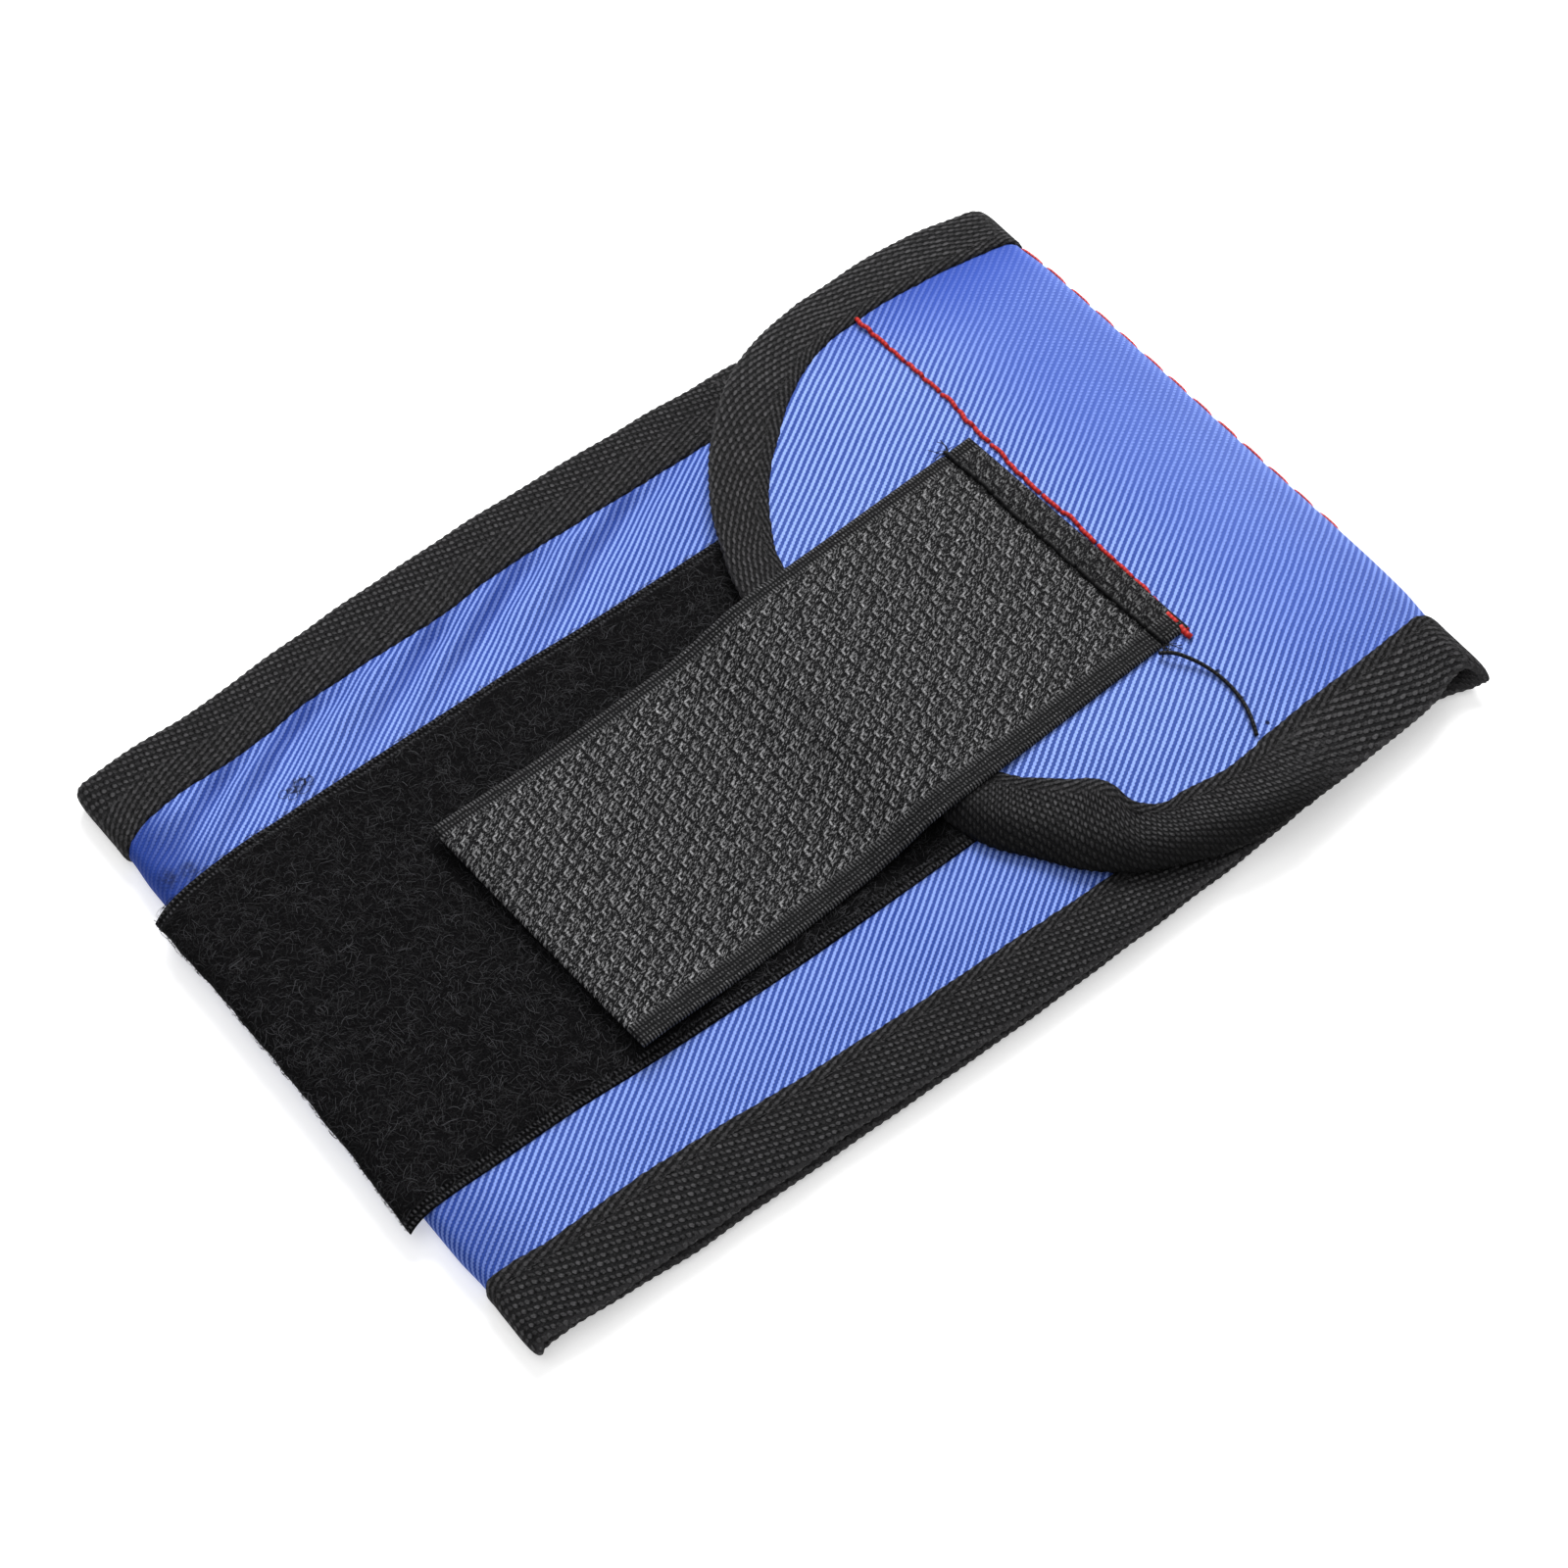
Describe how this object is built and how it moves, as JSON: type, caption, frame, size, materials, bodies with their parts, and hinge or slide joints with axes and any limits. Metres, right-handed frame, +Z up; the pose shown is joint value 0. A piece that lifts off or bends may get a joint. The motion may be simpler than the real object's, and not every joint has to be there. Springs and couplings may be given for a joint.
{
  "type": "magnetic wristband",
  "caption": "Fabric wristband folded flat on itself, closed by a hook strap on a loop strip, with disc magnets between its twill cover and mesh lining to hold small steel parts",
  "frame": {"origin": "centre of the footprint, on the surface that the folded band lies on", "axes": "+X along the folded band from the loop strip's cut end to the tongue's fold, +Y across the band, +Z up"},
  "size_m": [0.1429, 0.095, 0.0072],
  "materials": {
    "cover_twill": "ribbed twill polyester, soft sheen",
    "binding_tape": "woven tape",
    "mesh_lining": "spacer mesh",
    "loop_pile": "napped loop pile",
    "hook_tape": "woven nylon tape with hooks",
    "magnet_nickel": "nickel plated",
    "red_thread": "polyester sewing thread",
    "black_thread": "polyester sewing thread"
  },
  "bodies": {
    "base": {"base_cover": "cover_twill", "base_mesh": "mesh_lining", "base_binding_near": "binding_tape", "base_binding_far": "binding_tape", "base_magnet_1": "magnet_nickel", "base_magnet_2": "magnet_nickel", "base_magnet_3": "magnet_nickel", "base_magnet_4": "magnet_nickel", "base_magnet_5": "magnet_nickel", "base_magnet_6": "magnet_nickel", "base_magnet_7": "magnet_nickel", "base_magnet_8": "magnet_nickel", "base_magnet_9": "magnet_nickel", "base_magnet_10": "magnet_nickel", "base_magnet_11": "magnet_nickel", "base_magnet_12": "magnet_nickel"},
    "right_fold_lower": {"right_fold_lower_cover": "cover_twill", "right_fold_lower_mesh": "mesh_lining", "right_fold_lower_binding_near": "binding_tape", "right_fold_lower_binding_far": "binding_tape"},
    "right_fold_upper": {"right_fold_upper_cover": "cover_twill", "right_fold_upper_mesh": "mesh_lining", "right_fold_upper_binding_near": "binding_tape", "right_fold_upper_binding_far": "binding_tape"},
    "tongue": {"tongue_cover": "cover_twill", "tongue_mesh": "mesh_lining", "tongue_binding": "binding_tape", "tongue_magnet_1": "magnet_nickel", "tongue_magnet_2": "magnet_nickel", "tongue_magnet_3": "magnet_nickel", "hook_strap_tail": "hook_tape"},
    "hook_strap": {"hook_strap": "hook_tape"},
    "left_fold_lower": {"left_fold_lower_cover": "cover_twill", "left_fold_lower_mesh": "mesh_lining", "left_fold_lower_binding_near": "binding_tape", "left_fold_lower_binding_far": "binding_tape"},
    "left_fold_upper": {"left_fold_upper_cover": "cover_twill", "left_fold_upper_mesh": "mesh_lining", "left_fold_upper_binding_near": "binding_tape", "left_fold_upper_binding_far": "binding_tape", "loop_strip_end": "loop_pile"},
    "loop_panel": {"loop_panel_cover": "cover_twill", "loop_panel_mesh": "mesh_lining", "loop_panel_binding_near": "binding_tape", "loop_panel_binding_far": "binding_tape", "loop_panel_binding_end": "binding_tape", "loop_strip": "loop_pile"}
  },
  "joints": [
    {"name": "tongue_fold_1", "type": "hinge", "parent": "base", "child": "right_fold_lower", "pos_m": [0.06964, 0, 0], "axis": [0, 1, 0], "range_deg": [0, 57]},
    {"name": "tongue_fold_2", "type": "hinge", "parent": "right_fold_lower", "child": "right_fold_upper", "pos_m": [0.0715, 0, 0.00323], "axis": [0, 1, 0], "range_deg": [0, 57]},
    {"name": "tongue_fold_3", "type": "hinge", "parent": "right_fold_upper", "child": "tongue", "pos_m": [0.06964, 0, 0.00645], "axis": [0, 1, 0], "range_deg": [0, 57]},
    {"name": "loop_fold_1", "type": "hinge", "parent": "base", "child": "left_fold_lower", "pos_m": [-0.0674, 0, 0], "axis": [0, -1, 0], "range_deg": [0, 19]},
    {"name": "loop_fold_2", "type": "hinge", "parent": "left_fold_lower", "child": "left_fold_upper", "pos_m": [-0.0685, 0, 0.0019], "axis": [0, -1, 0], "range_deg": [0, 19]},
    {"name": "loop_fold_3", "type": "hinge", "parent": "left_fold_upper", "child": "loop_panel", "pos_m": [-0.0674, 0, 0.0038], "axis": [0, -1, 0], "range_deg": [0, 19]},
    {"name": "strap_peel", "type": "hinge", "parent": "tongue", "child": "hook_strap", "pos_m": [0.0415, -0.0022, 0.00735], "axis": [-0.0454, 0.999, 0], "range_deg": [0, 165]}
  ],
  "couplings": [
    {"joint": "tongue_fold_2", "follows": "tongue_fold_1", "ratio": 1},
    {"joint": "tongue_fold_3", "follows": "tongue_fold_1", "ratio": 1},
    {"joint": "loop_fold_1", "follows": "tongue_fold_1", "ratio": 0.33333},
    {"joint": "loop_fold_2", "follows": "tongue_fold_1", "ratio": 0.33333},
    {"joint": "loop_fold_3", "follows": "tongue_fold_1", "ratio": 0.33333}
  ]
}
